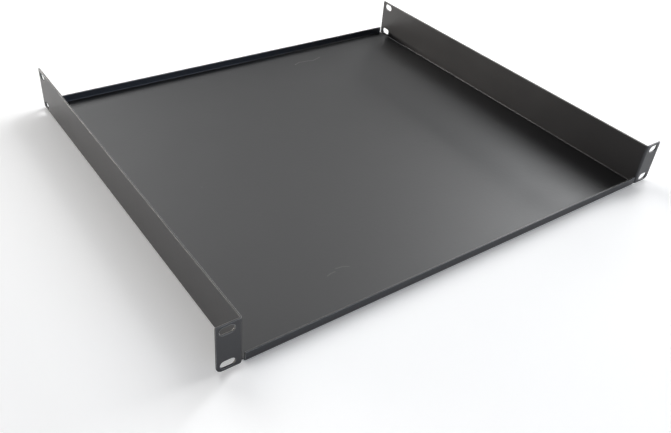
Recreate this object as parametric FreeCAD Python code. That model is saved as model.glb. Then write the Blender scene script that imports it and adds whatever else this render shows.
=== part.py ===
import FreeCAD, Part

# Cantilever rack shelf: one sheet of steel, cut flat and folded into a tray that is held by its front.
#
# Millimetres. X is the width, Y the depth with the rack ears on the -Y side, and Z is up.
# The origin is at the middle of the tray's outline, in the plane of the floor's underside.

import math
import os

from FreeCAD import Vector

# Rack standard: a 19-inch panel, and its slots' places from the ears' edges to each slot's middle
PANEL_WIDTH = 482.6
SLOT_INSET = 8.75
SLOT_MARGIN = 5.625

# Tray; the ears reach past the side walls by EAR_REACH
EAR_REACH = 18.8
DEPTH = 406.4
SIDE_HEIGHT = 44.0
FRONT_LIP_HEIGHT = 9.0
REAR_LIP_HEIGHT = 9.0

# Sheet, its folds, and the rounding that the coating leaves on its outline
SHEET = 1.5
BEND_INSIDE_RADIUS = 1.0
EDGE_ROUNDING = 0.3

# Corner reliefs: the open gap from a lip's end to the side wall, and how far the notch clears the fold
LIP_END_GAP = 2.0
RELIEF_CLEARANCE = 0.5

# Rack ears: how far they stop short of the underside, and their lower outer corner
EAR_LIFT = 1.0
EAR_CORNER_RADIUS = 4.5

# Slots, all made by one punch
SLOT_LENGTH = 12.0
SLOT_WIDTH = 7.0
REAR_SLOT_SETBACK = 10.0

# Sizes that follow from those above
BEND_OUTSIDE_RADIUS = BEND_INSIDE_RADIUS + SHEET
RELIEF_DEPTH = BEND_OUTSIDE_RADIUS + RELIEF_CLEARANCE
FRONT = -DEPTH / 2
REAR = DEPTH / 2
EAR_OUTER = PANEL_WIDTH / 2
EAR_SLOT_X = EAR_OUTER - SLOT_INSET
WALL_OUTER = EAR_OUTER - EAR_REACH
WALL_INNER = WALL_OUTER - SHEET
LIP_END = WALL_INNER - LIP_END_GAP
FLOOR_EDGE = WALL_OUTER - BEND_OUTSIDE_RADIUS
SLOT_LEVELS = [EAR_LIFT + SLOT_MARGIN, SIDE_HEIGHT - SLOT_MARGIN]

# How far a cutter reaches past the faces that it cuts, and the least angle of a sharp edge
REACH = 5.0
SHARP_ANGLE = math.radians(30)

X_WAY = Vector(1, 0, 0)
Y_WAY = Vector(0, 1, 0)
Z_WAY = Vector(0, 0, 1)


def folded_section(corners):
    """Face of a sheet's section with square folds; corners are the sharp corners of its outer side."""
    ways = [(end - start).normalize() for start, end in zip(corners, corners[1:])]
    outer_start = corners[0]
    inner_start = corners[0] + ways[1] * SHEET
    edges = [Part.makeLine(inner_start, outer_start)]
    for corner, way_in, way_out in zip(corners[1:], ways, ways[1:]):
        centre = corner + (way_out - way_in) * BEND_OUTSIDE_RADIUS
        to_corner = (way_in - way_out).normalize()
        outer_bend, outer_next = bend_arc(centre, way_in, way_out, to_corner, BEND_OUTSIDE_RADIUS)
        inner_bend, inner_next = bend_arc(centre, way_in, way_out, to_corner, BEND_INSIDE_RADIUS)
        edges += [Part.makeLine(outer_start, outer_bend.StartPoint), outer_bend.toShape()]
        edges += [Part.makeLine(inner_start, inner_bend.StartPoint), inner_bend.toShape()]
        outer_start = outer_next
        inner_start = inner_next
    outer_end = corners[-1]
    inner_end = corners[-1] - ways[-2] * SHEET
    edges += [Part.makeLine(outer_start, outer_end), Part.makeLine(inner_start, inner_end)]
    edges.append(Part.makeLine(outer_end, inner_end))
    return Part.Face(Part.Wire(Part.__sortEdges__(edges)))


def bend_arc(centre, way_in, way_out, to_corner, radius):
    """Quarter arc of a fold, and the point where it ends."""
    start = centre - way_out * radius
    end = centre + way_in * radius
    return Part.Arc(start, centre + to_corner * radius, end), end


def box_between(low, high):
    """Box from its lowest corner to its highest."""
    size = high - low
    return Part.makeBox(size.x, size.y, size.z, low)


def on_both_sides(shape):
    """The shape and its mirror image across the middle of the tray."""
    return [shape, shape.mirror(Vector(0, 0, 0), X_WAY)]


def make_channel():
    """Floor and side walls, folded up along the depth, notched at the rear for the lip's fold."""
    start = FRONT + RELIEF_DEPTH
    section = folded_section([
        Vector(-WALL_OUTER, start, SIDE_HEIGHT),
        Vector(-WALL_OUTER, start, 0),
        Vector(WALL_OUTER, start, 0),
        Vector(WALL_OUTER, start, SIDE_HEIGHT),
    ])
    channel = section.extrude(Y_WAY * (REAR - start))
    notch = box_between(
        Vector(-FLOOR_EDGE, REAR - RELIEF_DEPTH, -REACH),
        Vector(FLOOR_EDGE, REAR + REACH, BEND_OUTSIDE_RADIUS),
    )
    return channel.cut(notch)


def make_lipped_floor():
    """The floor again, as far as the lips reach, with the front and rear lips folded up."""
    section = folded_section([
        Vector(-LIP_END, FRONT, FRONT_LIP_HEIGHT),
        Vector(-LIP_END, FRONT, 0),
        Vector(-LIP_END, REAR, 0),
        Vector(-LIP_END, REAR, REAR_LIP_HEIGHT),
    ])
    return section.extrude(X_WAY * (2 * LIP_END))


def make_ear():
    """Right rack ear: the wall's front end folded outward, with its lower outer corner rounded."""
    fold_end = FRONT + BEND_OUTSIDE_RADIUS
    section = folded_section([
        Vector(EAR_OUTER, FRONT, EAR_LIFT),
        Vector(WALL_INNER, FRONT, EAR_LIFT),
        Vector(WALL_INNER, FRONT + RELIEF_DEPTH, EAR_LIFT),
    ])
    ear = section.extrude(Z_WAY * (SIDE_HEIGHT - EAR_LIFT))
    below_wall = box_between(
        Vector(WALL_INNER - REACH, fold_end, -REACH),
        Vector(WALL_OUTER + REACH, fold_end + REACH, BEND_OUTSIDE_RADIUS),
    )
    ear = ear.cut(below_wall)
    corners = [edge for edge in ear.Edges if is_lower_outer_corner(edge)]
    return ear.makeFillet(EAR_CORNER_RADIUS, corners)


def is_lower_outer_corner(edge):
    """Whether the edge runs through the sheet at the ear's lower outer corner."""
    target = Vector(EAR_OUTER, FRONT + SHEET / 2, EAR_LIFT)
    return edge.CenterOfMass.isEqual(target, SHEET / 10)


def make_slot_cutter(centre, run, through):
    """Round-ended punch, with its length along run, that reaches past the sheet along through."""
    radius = SLOT_WIDTH / 2
    side = through.cross(run)
    along = run * (SLOT_LENGTH / 2 - radius)
    start = centre - through * REACH
    right = Part.Arc(start + along - side * radius, start + along + run * radius, start + along + side * radius)
    left = Part.Arc(start - along + side * radius, start - along - run * radius, start - along - side * radius)
    top = Part.makeLine(right.EndPoint, left.StartPoint)
    bottom = Part.makeLine(left.EndPoint, right.StartPoint)
    outline = Part.Wire([right.toShape(), top, left.toShape(), bottom])
    return Part.Face(outline).extrude(through * (2 * REACH))


def make_slots():
    """Cutters for the slots in the ears and for those at the rear ends of the side walls."""
    cutters = []
    for level in SLOT_LEVELS:
        in_ear = Vector(EAR_SLOT_X, FRONT + SHEET / 2, level)
        in_wall = Vector(WALL_OUTER - SHEET / 2, REAR - REAR_SLOT_SETBACK, level)
        cutters += on_both_sides(make_slot_cutter(in_ear, X_WAY, Y_WAY))
        cutters += on_both_sides(make_slot_cutter(in_wall, Y_WAY, X_WAY))
    return cutters


def corner_relief_zones():
    """Spaces at the four lip ends where the notches are, too fine for the coating to round their edges."""
    slack = SHEET / 100
    front = box_between(
        Vector(LIP_END - slack, FRONT - slack, -slack),
        Vector(WALL_OUTER + slack, FRONT + RELIEF_DEPTH + slack, FRONT_LIP_HEIGHT + slack),
    )
    rear = box_between(
        Vector(LIP_END - slack, REAR - RELIEF_DEPTH - slack, -slack),
        Vector(WALL_OUTER + slack, REAR + slack, REAR_LIP_HEIGHT + slack),
    )
    return [zone.BoundBox for zone in on_both_sides(front) + on_both_sides(rear)]


def is_cut_edge(sheet, edge):
    """Whether two faces meet at a sharp outward corner along the edge."""
    middle = edge.valueAt((edge.FirstParameter + edge.LastParameter) / 2)
    one, other = [
        face.normalAt(*face.Surface.parameter(middle)) for face in sheet.ancestorsOfType(edge, Part.Face)
    ]
    if one.getAngle(other) < SHARP_ANGLE:
        return False
    beside = middle + (one - other).normalize() * (SHEET / 100)
    return not sheet.isInside(beside, SHEET / 1000, True)


def round_cut_edges(sheet):
    """Soften the sheet's outline outside the corner reliefs, as the coating does."""
    zones = corner_relief_zones()
    edges = [edge for edge in sheet.Edges if is_cut_edge(sheet, edge)]
    edges = [edge for edge in edges if not any(zone.isInside(edge.BoundBox) for zone in zones)]
    return sheet.makeFillet(EDGE_ROUNDING, edges)


def make_shelf():
    """The whole folded sheet as one solid."""
    sheet = make_channel().fuse([make_lipped_floor()] + on_both_sides(make_ear()))
    return round_cut_edges(sheet.removeSplitter()).cut(make_slots())


def main():
    os.makedirs("parts", exist_ok=True)
    shelf = make_shelf()
    shelf.exportStep("parts/rack_shelf.step")


main()
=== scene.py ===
import logging
import math
from collections.abc import Mapping, Sequence
from dataclasses import dataclass, field
from enum import Enum

import bpy
from mathutils import Matrix, Vector


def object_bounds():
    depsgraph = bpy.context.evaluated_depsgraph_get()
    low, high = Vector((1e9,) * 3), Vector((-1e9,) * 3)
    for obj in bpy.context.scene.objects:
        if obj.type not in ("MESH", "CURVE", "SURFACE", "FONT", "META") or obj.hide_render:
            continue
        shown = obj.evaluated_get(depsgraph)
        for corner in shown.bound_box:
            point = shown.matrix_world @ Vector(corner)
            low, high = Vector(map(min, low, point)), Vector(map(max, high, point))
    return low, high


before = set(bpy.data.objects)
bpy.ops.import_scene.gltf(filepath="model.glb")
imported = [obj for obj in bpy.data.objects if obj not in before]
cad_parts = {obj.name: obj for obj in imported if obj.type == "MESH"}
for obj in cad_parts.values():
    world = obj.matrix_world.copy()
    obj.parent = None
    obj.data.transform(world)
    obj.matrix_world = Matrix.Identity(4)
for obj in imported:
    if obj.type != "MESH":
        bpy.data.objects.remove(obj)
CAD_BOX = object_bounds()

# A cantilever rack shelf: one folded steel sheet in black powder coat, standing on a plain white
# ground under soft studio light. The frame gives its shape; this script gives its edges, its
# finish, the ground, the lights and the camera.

LOG = logging.getLogger("rack_shelf")

Colour = tuple[float, float, float, float]
MILLIMETRE = 0.001

# The sRGB curve: a short straight toe, then a power.
CHANNEL_TOP = 255.0
TOE_END = 0.04045
TOE_SLOPE = 12.92
CURVE_OFFSET = 0.055
CURVE_POWER = 2.4


class MarkKind(Enum):
    """The small marks that handling has left in the coat."""

    HAIRLINE = "hairline"
    NIB = "nib"


# How far to each side of its course a mark shows, and a distance that is past every mark.
MARK_REACH = {MarkKind.HAIRLINE: 0.9 * MILLIMETRE, MarkKind.NIB: 1.3 * MILLIMETRE}
OUT_OF_REACH = 1.0


def linear_channel(level: float) -> float:
    """Turn one sRGB channel, 0 to 1, into its linear level."""
    if level <= TOE_END:
        return level / TOE_SLOPE
    return ((level + CURVE_OFFSET) / (1.0 + CURVE_OFFSET)) ** CURVE_POWER


def linear_colour(hex_colour: str) -> Colour:
    """Turn an sRGB hex value into the linear colour that the shaders take.

    Args:
        hex_colour: six hex digits with a leading hash, such as "#1c1d20".

    Returns:
        Red, green, blue and an alpha of 1, linear.
    """
    red, green, blue = (int(hex_colour[place : place + 2], 16) / CHANNEL_TOP for place in (1, 3, 5))
    return (linear_channel(red), linear_channel(green), linear_channel(blue), 1.0)


def add_node(
    tree: bpy.types.NodeTree,
    kind: str,
    settings: Mapping[str, object] | None = None,
    inputs: Mapping[str | int, object] | None = None,
) -> bpy.types.Node:
    """Add one node to a tree with its settings, its socket values and its links.

    Args:
        tree: the node tree that gets the node.
        kind: Blender's type name of the node.
        settings: the node's own properties by name.
        inputs: a value, or an output socket to link from, by input name or number.

    Returns:
        The new node.
    """
    node = tree.nodes.new(kind)
    for name, value in (settings or {}).items():
        setattr(node, name, value)
    for name, value in (inputs or {}).items():
        if isinstance(value, bpy.types.NodeSocket):
            tree.links.new(value, node.inputs[name])
        else:
            node.inputs[name].default_value = value
    return node


def fresh_material(name: str) -> bpy.types.Material:
    """Make an empty node material of that name."""
    material = bpy.data.materials.new(name)
    material.use_nodes = True
    material.node_tree.nodes.clear()
    return material


@dataclass(frozen=True)
class HandlingMark:
    """One small mark on the tray, as a course of points in millimetres of the row frame."""

    kind: MarkKind
    course: tuple[tuple[float, float], ...]
    strength: float

    def reach(self) -> float:
        """How far to each side of its course the mark shows, in metres."""
        return MARK_REACH[self.kind]


@dataclass(frozen=True)
class PowderCoat:
    """Satin black polyester powder coat, sprayed dry and baked on cold-rolled steel sheet.

    The resin is a clear dielectric over carbon black: the eye gets next to no body colour, and a
    soft, broad gloss whose level comes from what each face mirrors. Baked powder never flows out
    quite flat, so the gloss is faintly mottled (orange peel) and finely grained, and where the
    film is a little thinner it is a little duller.
    """

    name: str = "satin_black_powder_coat_on_steel"
    full_film: str = "#161618"
    thin_film: str = "#1d1d1f"
    # The melting powder draws back from sheared edges, and the thin film there looks grey; this pale grey
    # is also a painted highlight along those edges and, more faintly, along the feet of the inner folds.
    # It starts where the rounded face has turned away a little (a cosine) and is full further round.
    edge_film_and_highlight: str = "#8c8c88"
    edge_start: float = 0.997
    edge_full: float = 0.91
    # Where handling has rubbed the coat, it is greyer and duller.
    scuffed_film: str = "#747472"
    refractive_index: float = 1.5
    roughness_full: float = 0.38
    roughness_thin: float = 0.43
    roughness_scuffed: float = 0.48
    # Film thickness wanders slowly with the sweep of the spray gun, and a little with the grain.
    film_drift: float = 45.0 * MILLIMETRE
    drift_octaves: float = 2.0
    grain_share: float = 0.35
    # Orange peel: low waves 2 to 3 mm apart, a few hundredths of a millimetre high.
    peel_spacing: float = 2.6 * MILLIMETRE
    peel_height: float = 0.03 * MILLIMETRE
    peel_octaves: float = 0.0
    # The grain of the powder is 0.05 to 0.1 mm; it is drawn at 0.8 mm, so that it shows at all.
    grain_spacing: float = 0.8 * MILLIMETRE
    grain_height: float = 0.006 * MILLIMETRE
    grain_octaves: float = 1.0
    # Nearly all of a pattern lies between these two levels; each octave is half as strong.
    pattern_low: float = 0.3
    pattern_high: float = 0.7
    octave_share: float = 0.5
    # The baked film draws round over the sheet's edges and fills the foot of each fold.
    edge_round: float = 0.75 * MILLIMETRE
    edge_samples: int = 6
    tray_level: float = 1.5 * MILLIMETRE
    marks: tuple[HandlingMark, ...] = ()

    def build(self) -> bpy.types.Material:
        """Build the coat's node material."""
        material = fresh_material(self.name)
        tree = material.node_tree
        place = add_node(tree, "ShaderNodeTexCoord").outputs["Object"]
        drift = self.pattern(tree, place, self.film_drift, self.drift_octaves)
        grain = self.pattern(tree, place, self.grain_spacing, self.grain_octaves)
        thinness = add_node(
            tree, "ShaderNodeMix", {"data_type": "FLOAT"}, {0: self.grain_share, 2: drift, 3: grain}
        ).outputs[0]
        scuff = self.scuffing(tree, place)
        rounded = add_node(
            tree, "ShaderNodeBevel", {"samples": self.edge_samples}, {"Radius": self.edge_round}
        ).outputs["Normal"]
        film = self.blend(tree, thinness, linear_colour(self.full_film), linear_colour(self.thin_film))
        # Painted highlight: pale grey along the sheared edges and the feet of the inner folds, over the
        # thin grey film on the edges.
        edged_and_highlighted = self.blend(tree, self.thin_edges_and_highlights(tree, rounded), film, linear_colour(self.edge_film_and_highlight))
        colour = self.blend(tree, scuff, edged_and_highlighted, linear_colour(self.scuffed_film))
        shader = add_node(
            tree,
            "ShaderNodeBsdfPrincipled",
            inputs={
                "Base Color": colour,
                "Metallic": 0.0,
                "Roughness": self.dullness(tree, thinness, scuff),
                "IOR": self.refractive_index,
                "Normal": self.relief(tree, place, grain, rounded),
            },
        )
        add_node(tree, "ShaderNodeOutputMaterial", inputs={"Surface": shader.outputs["BSDF"]})
        return material

    def thin_edges_and_highlights(self, tree: bpy.types.NodeTree, rounded: bpy.types.NodeSocket) -> bpy.types.NodeSocket:
        """Find the sheared edges and, more faintly, the feet of the inner folds, where a pale painted
        highlight goes.

        Args:
            tree: the material's node tree.
            rounded: the normal of the rounded face.

        Returns:
            0 on the flat, up to 1 on an edge.
        """
        plain = add_node(tree, "ShaderNodeNewGeometry").outputs["Normal"]
        turned = add_node(
            tree, "ShaderNodeVectorMath", {"operation": "DOT_PRODUCT"}, {0: rounded, 1: plain}
        ).outputs["Value"]
        drawn = add_node(
            tree,
            "ShaderNodeMapRange",
            inputs={
                "Value": turned,
                "From Min": self.edge_start,
                "From Max": self.edge_full,
                "To Min": 0.0,
                "To Max": 1.0,
            },
        )
        return drawn.outputs["Result"]

    def dullness(
        self, tree: bpy.types.NodeTree, thinness: bpy.types.NodeSocket, scuff: bpy.types.NodeSocket
    ) -> bpy.types.NodeSocket:
        """Make the gloss duller where the film is thin or scuffed.

        Args:
            tree: the material's node tree.
            thinness: how thin the film is.
            scuff: how far the coat is scuffed.

        Returns:
            The roughness.
        """
        spread = add_node(
            tree,
            "ShaderNodeMapRange",
            inputs={
                "Value": thinness,
                "From Min": self.pattern_low,
                "From Max": self.pattern_high,
                "To Min": self.roughness_full,
                "To Max": self.roughness_thin,
            },
        )
        roughness = add_node(
            tree,
            "ShaderNodeMix",
            {"data_type": "FLOAT"},
            {0: scuff, 2: spread.outputs["Result"], 3: self.roughness_scuffed},
        )
        return roughness.outputs[0]

    def relief(
        self,
        tree: bpy.types.NodeTree,
        place: bpy.types.NodeSocket,
        grain: bpy.types.NodeSocket,
        rounded: bpy.types.NodeSocket,
    ) -> bpy.types.NodeSocket:
        """Lay the orange peel and the grain over the rounded face.

        Args:
            tree: the material's node tree.
            place: the socket that gives the place in metres.
            grain: the grain's height.
            rounded: the normal of the rounded face.

        Returns:
            The normal of the coat.
        """
        waves = self.pattern(tree, place, self.peel_spacing, self.peel_octaves)
        peel = add_node(
            tree,
            "ShaderNodeBump",
            inputs={"Strength": 1.0, "Distance": self.peel_height, "Height": waves, "Normal": rounded},
        )
        coat = add_node(
            tree,
            "ShaderNodeBump",
            inputs={
                "Strength": 1.0,
                "Distance": self.grain_height,
                "Height": grain,
                "Normal": peel.outputs["Normal"],
            },
        )
        return coat.outputs["Normal"]

    def pattern(
        self, tree: bpy.types.NodeTree, place: bpy.types.NodeSocket, spacing: float, octaves: float
    ) -> bpy.types.NodeSocket:
        """Lay an uneven pattern of a real size over the coat.

        Args:
            tree: the material's node tree.
            place: the socket that gives the place in metres.
            spacing: from one wave to the next, in metres.
            octaves: how many finer octaves ride on it.

        Returns:
            The pattern's height.
        """
        noise = add_node(
            tree,
            "ShaderNodeTexNoise",
            {"noise_dimensions": "3D"},
            {
                "Vector": place,
                "Scale": 1.0 / spacing,
                "Detail": octaves,
                "Roughness": self.octave_share,
            },
        )
        return noise.outputs[0]

    def blend(
        self,
        tree: bpy.types.NodeTree,
        share: bpy.types.NodeSocket,
        first: Colour | bpy.types.NodeSocket,
        second: Colour | bpy.types.NodeSocket,
    ) -> bpy.types.NodeSocket:
        """Blend two colours.

        Args:
            tree: the material's node tree.
            share: the socket that gives the second colour's share.
            first: the colour where the share is 0.
            second: the colour where the share is 1.

        Returns:
            The blended colour.
        """
        mixed = add_node(tree, "ShaderNodeMix", {"data_type": "RGBA"}, {0: share, 6: first, 7: second})
        return mixed.outputs[2]

    def scuffing(self, tree: bpy.types.NodeTree, place: bpy.types.NodeSocket) -> bpy.types.NodeSocket:
        """Find where handling has scuffed the coat.

        Args:
            tree: the material's node tree.
            place: the socket that gives the place in metres.

        Returns:
            0 on sound coat, up to a mark's strength on the mark.
        """
        worst: bpy.types.NodeSocket | float = 0.0
        for mark in self.marks:
            away = self.distance_to(tree, place, mark)
            shown = add_node(
                tree,
                "ShaderNodeMapRange",
                {"interpolation_type": "SMOOTHSTEP"},
                {
                    "Value": away,
                    "From Min": 0.0,
                    "From Max": mark.reach(),
                    "To Min": mark.strength,
                    "To Max": 0.0,
                },
            )
            worst = add_node(
                tree, "ShaderNodeMath", {"operation": "MAXIMUM"}, {0: worst, 1: shown.outputs["Result"]}
            ).outputs[0]
        return worst

    def distance_to(
        self, tree: bpy.types.NodeTree, place: bpy.types.NodeSocket, mark: HandlingMark
    ) -> bpy.types.NodeSocket:
        """Measure how far each place is from a mark's course.

        Args:
            tree: the material's node tree.
            place: the socket that gives the place in metres.
            mark: the mark.

        Returns:
            The distance in metres.
        """
        course = [Vector((x * MILLIMETRE, y * MILLIMETRE, self.tray_level)) for x, y in mark.course]
        nearest: bpy.types.NodeSocket | float = OUT_OF_REACH
        for start, end in zip(course, course[1:] or course):
            run = end - start
            scale = 1.0 / run.length_squared if run.length_squared else 0.0
            from_start = add_node(
                tree, "ShaderNodeVectorMath", {"operation": "SUBTRACT"}, {0: place, 1: start}
            )
            along = add_node(
                tree,
                "ShaderNodeVectorMath",
                {"operation": "DOT_PRODUCT"},
                {0: from_start.outputs[0], 1: run * scale},
            )
            held = add_node(tree, "ShaderNodeClamp", inputs={"Value": along.outputs["Value"]})
            foot = add_node(
                tree,
                "ShaderNodeVectorMath",
                {"operation": "MULTIPLY_ADD"},
                {0: tuple(-run), 1: held.outputs[0], 2: from_start.outputs[0]},
            )
            apart = add_node(tree, "ShaderNodeVectorMath", {"operation": "LENGTH"}, {0: foot.outputs[0]})
            nearest = add_node(
                tree, "ShaderNodeMath", {"operation": "MINIMUM"}, {0: nearest, 1: apart.outputs["Value"]}
            ).outputs[0]
        return nearest


@dataclass(frozen=True)
class GroundPaper:
    """Matt white seamless paper: an even, chalky white with no gloss to speak of.

    A little light of its own keeps it white to the eye and in the coat's gloss, more of it far
    out where the lamps fall off, and leaves the shelf's shadow on it.
    """

    name: str = "matt_white_seamless_paper"
    body: str = "#fdfdfd"
    own_white: float = 0.19
    # Metres from the shelf's middle: to the first the lamps light the paper well, and from the
    # second on it is white of itself.
    lit_reach: float = 1.0
    far_reach: float = 4.0

    def build(self) -> bpy.types.Material:
        """Build the paper's node material."""
        material = fresh_material(self.name)
        tree = material.node_tree
        paper = add_node(tree, "ShaderNodeBsdfDiffuse", inputs={"Color": linear_colour(self.body)})
        path = add_node(tree, "ShaderNodeLightPath")
        seen = add_node(
            tree,
            "ShaderNodeMath",
            {"operation": "MAXIMUM"},
            {0: path.outputs["Is Camera Ray"], 1: path.outputs["Is Glossy Ray"]},
        )
        shown = add_node(
            tree,
            "ShaderNodeMath",
            {"operation": "MAXIMUM"},
            {0: seen.outputs[0], 1: path.outputs["Is Transmission Ray"]},
        )
        place = add_node(tree, "ShaderNodeTexCoord").outputs["Object"]
        out = add_node(tree, "ShaderNodeVectorMath", {"operation": "LENGTH"}, {0: place})
        white = add_node(
            tree,
            "ShaderNodeMapRange",
            {"interpolation_type": "SMOOTHSTEP"},
            {
                "Value": out.outputs["Value"],
                "From Min": self.lit_reach,
                "From Max": self.far_reach,
                "To Min": self.own_white,
                "To Max": 1.0,
            },
        )
        level = add_node(
            tree,
            "ShaderNodeMath",
            {"operation": "MULTIPLY"},
            {0: shown.outputs[0], 1: white.outputs["Result"]},
        )
        glow = add_node(tree, "ShaderNodeEmission", inputs={"Strength": level.outputs[0]})
        both = add_node(tree, "ShaderNodeAddShader", inputs={0: paper.outputs[0], 1: glow.outputs[0]})
        add_node(tree, "ShaderNodeOutputMaterial", inputs={"Surface": both.outputs[0]})
        return material


@dataclass
class RackShelf:
    """The folded shelf itself, carried over from the frame as it is."""

    node: str = "rack_shelf"
    weld_reach: float = 0.001 * MILLIMETRE
    cut_edge_radius: float = 0.2 * MILLIMETRE
    cut_edge_angle: float = 60.0
    cut_edge_segments: int = 2
    coat: PowderCoat = PowderCoat(
        marks=(
            HandlingMark(
                MarkKind.HAIRLINE,
                (
                    (64.1, 170.1),
                    (71.1, 173.1),
                    (76.7, 172.5),
                    (84.0, 172.0),
                    (89.1, 170.2),
                    (95.2, 171.9),
                    (102.9, 174.7),
                ),
                0.55,
            ),
            HandlingMark(MarkKind.NIB, ((64.1, 170.1),), 0.8),
            HandlingMark(MarkKind.HAIRLINE, ((-120.3, -160.8), (-116.1, -159.6), (-112.2, -159.6)), 0.2),
            HandlingMark(MarkKind.HAIRLINE, ((-109.5, -156.9), (-103.7, -157.5), (-98.6, -160.2)), 0.2),
            HandlingMark(MarkKind.NIB, ((100.9, 1.1),), 0.15),
            HandlingMark(MarkKind.NIB, ((-149.6, -4.1),), 0.15),
        )
    )

    def build(self, nodes: Mapping[str, bpy.types.Object]) -> bpy.types.Object:
        """Soften the shelf's punched edges and dress it.

        Args:
            nodes: the frame's objects by node name.

        Returns:
            The shelf's object.
        """
        shelf = nodes[self.node]
        self.soften_cut_edges(shelf)
        self.dress(shelf)
        return shelf

    def soften_cut_edges(self, shelf: bpy.types.Object) -> None:
        """Give the slots and corner reliefs the small round that the baked coat leaves on them."""
        weld = shelf.modifiers.new("join_faces", "WELD")
        weld.merge_threshold = self.weld_reach
        bevel = shelf.modifiers.new("coat_round", "BEVEL")
        bevel.width = self.cut_edge_radius
        bevel.segments = self.cut_edge_segments
        bevel.limit_method = "ANGLE"
        bevel.angle_limit = math.radians(self.cut_edge_angle)
        bevel.harden_normals = True
        normals = shelf.modifiers.new("flat_faces", "WEIGHTED_NORMAL")
        normals.keep_sharp = False

    def dress(self, shelf: bpy.types.Object) -> None:
        """Put the coat on every face."""
        shelf.data.materials.clear()
        shelf.data.materials.append(self.coat.build())


@dataclass
class StudioGround:
    """The plain pale floor that the shelf stands on."""

    size: float = 60.0
    paper: GroundPaper = field(default_factory=GroundPaper)

    def build(self, level: float) -> bpy.types.Object:
        """Lay the floor.

        Args:
            level: its height in metres.

        Returns:
            The floor's object.
        """
        half = self.size / 2.0
        corners = [(-half, -half, level), (half, -half, level), (half, half, level), (-half, half, level)]
        mesh = bpy.data.meshes.new("studio_ground")
        mesh.from_pydata(corners, [], [(0, 1, 2, 3)])
        mesh.materials.append(self.paper.build())
        ground = bpy.data.objects.new("studio_ground", mesh)
        bpy.context.scene.collection.objects.link(ground)
        return ground


@dataclass(frozen=True)
class SoftBox:
    """A rectangular softbox that faces the shelf."""

    name: str
    azimuth: float
    elevation: float
    distance: float
    width: float
    height: float
    radiance: float
    tint: str = "#ffffff"

    def build(self, aim: Vector) -> bpy.types.Object:
        """Hang the softbox.

        Args:
            aim: the point that it faces, in the row frame.

        Returns:
            The lamp's object.
        """
        lamp = bpy.data.lights.new(self.name, "AREA")
        lamp.shape = "RECTANGLE"
        lamp.size = self.width
        lamp.size_y = self.height
        lamp.energy = self.radiance * math.pi * self.width * self.height
        lamp.color = linear_colour(self.tint)[:3]
        box = bpy.data.objects.new(self.name, lamp)
        away = direction(self.azimuth, self.elevation)
        turned = away.to_track_quat("Z", "Y").to_matrix().to_4x4()
        box.matrix_world = Matrix.Translation(aim + away * self.distance) @ turned
        box.visible_camera = False
        bpy.context.scene.collection.objects.link(box)
        return box


def direction(azimuth: float, elevation: float) -> Vector:
    """The unit vector towards a compass angle and a height.

    Args:
        azimuth: degrees from the shelf's front, turning to its right.
        elevation: degrees above the horizon.

    Returns:
        The vector in the row frame.
    """
    turn, rise = math.radians(azimuth), math.radians(elevation)
    return Vector((math.sin(turn) * math.cos(rise), -math.cos(turn) * math.cos(rise), math.sin(rise)))


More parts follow.
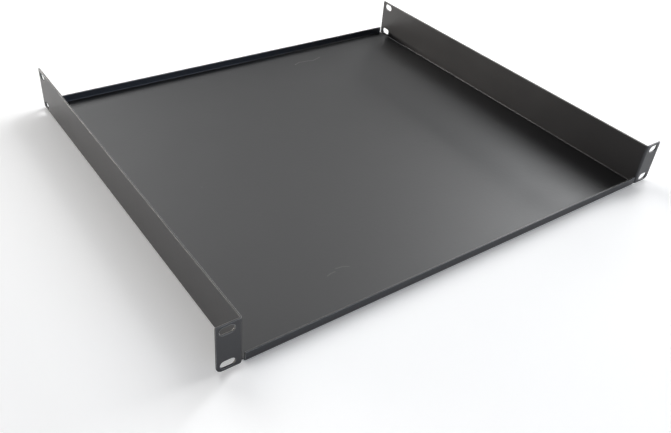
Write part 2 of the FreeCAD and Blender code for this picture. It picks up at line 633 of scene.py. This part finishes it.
@dataclass
class StudioLight:
    """The soft light: boxes behind the shelf and to its right, three low strips, and the room."""

    # The room's walls are white to about 6 degrees up and fade by 13 degrees into a dim ceiling.
    # Both places are sines of the height.
    room_colour: str = "#ffffff"
    wall_top: float = 0.1
    ceiling_foot: float = 0.22
    room: float = 0.05
    # The ceiling is a little paler in the coat's gloss than as light, and white to the eye.
    mirrored_room: float = 0.15
    boxes: Sequence[SoftBox] = (
        SoftBox("rear_right_key", 116.0, 41.0, 5.0, 1.05, 3.1, 5.6, "#fafcff"),
        SoftBox("rear_strip", 164.0, 36.0, 5.0, 1.05, 2.3, 0.9, "#fafcff"),
        SoftBox("rear_box", 147.0, 43.0, 5.0, 2.1, 2.3, 2.0),
        SoftBox("back_box", 186.0, 35.0, 5.0, 3.0, 2.4, 3.8),
        SoftBox("right_box", 95.5, 38.0, 5.0, 3.0, 2.6, 3.9),
        SoftBox("low_right_strip", 105.0, 11.0, 5.0, 5.0, 1.2, 11.0),
        SoftBox("low_left_strip", 216.0, 3.6, 5.0, 4.5, 0.6, 38.0, "#fff8f0"),
        SoftBox("low_front_strip", 12.0, 4.5, 5.0, 5.0, 0.6, 13.0, "#c8dcff"),
    )

    def build(self, aim: Vector) -> None:
        """Light the shelf.

        Args:
            aim: the point that the softboxes face.
        """
        for box in self.boxes:
            box.build(aim)
        bpy.context.scene.world = self.build_room()

    def build_room(self) -> bpy.types.World:
        """Build the room that the coat mirrors and the backdrop that the eye sees."""
        world = bpy.data.worlds.new("studio_room")
        world.use_nodes = True
        tree = world.node_tree
        tree.nodes.clear()
        away = add_node(tree, "ShaderNodeTexCoord")
        height = add_node(tree, "ShaderNodeSeparateXYZ", inputs={0: away.outputs["Generated"]})
        level = add_node(
            tree,
            "ShaderNodeMapRange",
            {"interpolation_type": "SMOOTHSTEP"},
            {
                "Value": height.outputs["Z"],
                "From Min": self.wall_top,
                "From Max": self.ceiling_foot,
                "To Min": 1.0,
                "To Max": self.room,
            },
        )
        path = add_node(tree, "ShaderNodeLightPath")
        mirrored = add_node(
            tree,
            "ShaderNodeMath",
            {"operation": "MAXIMUM"},
            {0: path.outputs["Is Glossy Ray"], 1: path.outputs["Is Transmission Ray"]},
        )
        ceiling = add_node(
            tree,
            "ShaderNodeMath",
            {"operation": "MULTIPLY"},
            {0: mirrored.outputs[0], 1: self.mirrored_room},
        )
        lighter = add_node(
            tree,
            "ShaderNodeMath",
            {"operation": "MAXIMUM"},
            {0: ceiling.outputs[0], 1: level.outputs["Result"]},
        )
        backdrop = add_node(
            tree,
            "ShaderNodeMath",
            {"operation": "MAXIMUM"},
            {0: lighter.outputs[0], 1: path.outputs["Is Camera Ray"]},
        )
        room = add_node(
            tree,
            "ShaderNodeBackground",
            inputs={"Color": linear_colour(self.room_colour), "Strength": backdrop.outputs[0]},
        )
        add_node(tree, "ShaderNodeOutputWorld", inputs={"Surface": room.outputs[0]})
        return world


@dataclass
class ProductCamera:
    """The camera on its stand, to the left of the shelf's front."""

    aim: tuple[float, float, float] = (-0.08485, -0.1195, 0.020)
    azimuth: float = -38.86
    elevation: float = 36.93
    roll: float = 5.59
    distance: float = 0.60929
    lens: float = 39.11
    sensor: float = 36.0
    nearest: float = 0.01

    def build(self) -> bpy.types.Object:
        """Set the camera up and make it the scene's own."""
        data = bpy.data.cameras.new("product_camera")
        data.lens = self.lens
        data.sensor_width = self.sensor
        data.sensor_fit = "HORIZONTAL"
        data.clip_start = self.nearest
        camera = bpy.data.objects.new("product_camera", data)
        back = direction(self.azimuth, self.elevation)
        turned = Matrix.Rotation(math.radians(self.roll), 4, back)
        level = back.to_track_quat("Z", "Y").to_matrix().to_4x4()
        camera.matrix_world = Matrix.Translation(Vector(self.aim) + back * self.distance) @ turned @ level
        bpy.context.scene.collection.objects.link(camera)
        bpy.context.scene.camera = camera
        return camera


def main() -> None:
    """Build the shelf, its ground, its light and its camera."""
    logging.basicConfig(level=logging.INFO, format="%(name)s: %(message)s")
    shelf = RackShelf().build(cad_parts)
    LOG.info("dressed %s", shelf.name)
    lowest, highest = CAD_BOX
    ground = StudioGround().build(lowest.z)
    LOG.info("laid %s", ground.name)
    StudioLight().build((lowest + highest) / 2.0)
    LOG.info("lit the shelf")
    camera = ProductCamera().build()
    LOG.info("set up %s", camera.name)
    scene = bpy.context.scene
    scene.view_settings.view_transform = "Standard"
    bpy.context.view_layer.update()


if __name__ == "__main__":
    main()
